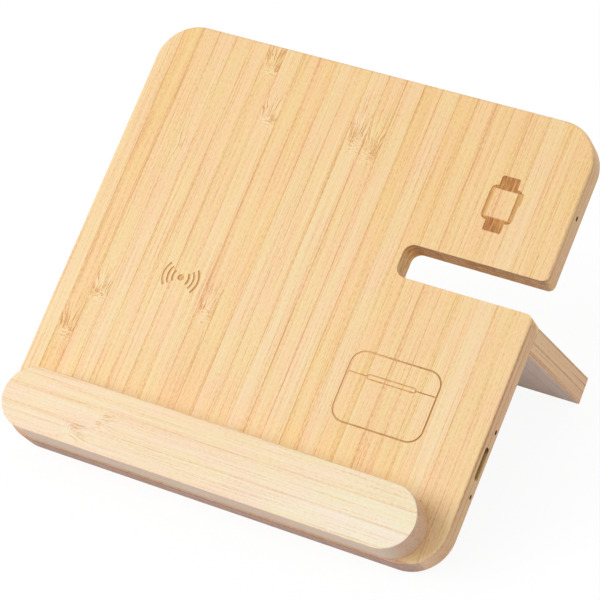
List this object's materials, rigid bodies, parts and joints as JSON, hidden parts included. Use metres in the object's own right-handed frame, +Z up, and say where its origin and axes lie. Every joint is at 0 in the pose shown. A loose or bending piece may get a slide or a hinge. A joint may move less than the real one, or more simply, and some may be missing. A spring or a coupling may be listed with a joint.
{
  "type": "charging station organizer",
  "caption": "Leaning bamboo charging stand: ledge bar for a phone, tongue beside an open slot for a watch, place for an earbud case, folding board leg behind.",
  "frame": {"origin": "on the surface it stands on, under the middle of its bounding box", "axes": "+X to the right along the ledge seen from the front, +Y towards the leg, +Z up"},
  "size_m": [0.16, 0.1294, 0.104],
  "materials": {
    "bamboo_board": "fine sanded bamboo, matt oil",
    "bamboo_ledge": "fine sanded pale bamboo, matt oil",
    "bamboo_leg": "fine sanded bamboo, matt oil",
    "bamboo_cover": "thin sanded bamboo, matt oil",
    "hinge_brass": "satin brass",
    "screw_steel": "zinc plated",
    "coil_copper": "enamelled copper winding",
    "ferrite": "sintered ferrite",
    "magnet_nickel": "nickel plated",
    "circuit_green": "green solder mask",
    "chip_black": "moulded black",
    "capacitor_tan": "ceramic",
    "inlet_steel": "drawn steel shell",
    "diode_white": "white with clear lens",
    "light_clear": "clear acrylic",
    "lead_grey": "jacketed lead"
  },
  "bodies": {
    "stand": {"panel_board": "bamboo_board", "ledge_bar": "bamboo_ledge", "back_cover": "bamboo_cover", "ledge_screws": "screw_steel", "cover_screws": "screw_steel", "circuit_screws": "screw_steel", "hinge_panel_screws": "hinge_brass", "lower_phone_coil": "coil_copper", "upper_phone_coil": "coil_copper", "earbuds_coil": "coil_copper", "watch_coil": "coil_copper", "phone_ferrite": "ferrite", "earbuds_ferrite": "ferrite", "watch_ferrite": "ferrite", "watch_magnet": "magnet_nickel", "phone_coil_leads": "lead_grey", "earbuds_coil_lead": "lead_grey", "watch_lead": "lead_grey", "watch_circuit_board": "circuit_green", "main_circuit_board": "circuit_green", "power_inductors": "ferrite", "controller_chips": "chip_black", "resonance_capacitors": "capacitor_tan", "inlet_shell": "inlet_steel", "inlet_contacts": "chip_black", "indicator_diodes": "diode_white", "port_light_pipes": "light_clear", "watch_light_pipe": "light_clear", "left_hinge_panel_leaf": "hinge_brass", "right_hinge_panel_leaf": "hinge_brass", "left_hinge_pin": "hinge_brass", "right_hinge_pin": "hinge_brass"},
    "leg": {"leg_board": "bamboo_leg", "left_hinge_leg_leaf": "hinge_brass", "right_hinge_leg_leaf": "hinge_brass", "hinge_leg_screws": "hinge_brass"}
  },
  "joints": [
    {"name": "leg_fold", "type": "hinge", "parent": "stand", "child": "leg", "pos_m": [0, 0.00822, 0.04853], "axis": [-1, 0, 0], "range_deg": [0, 94.5]}
  ]
}
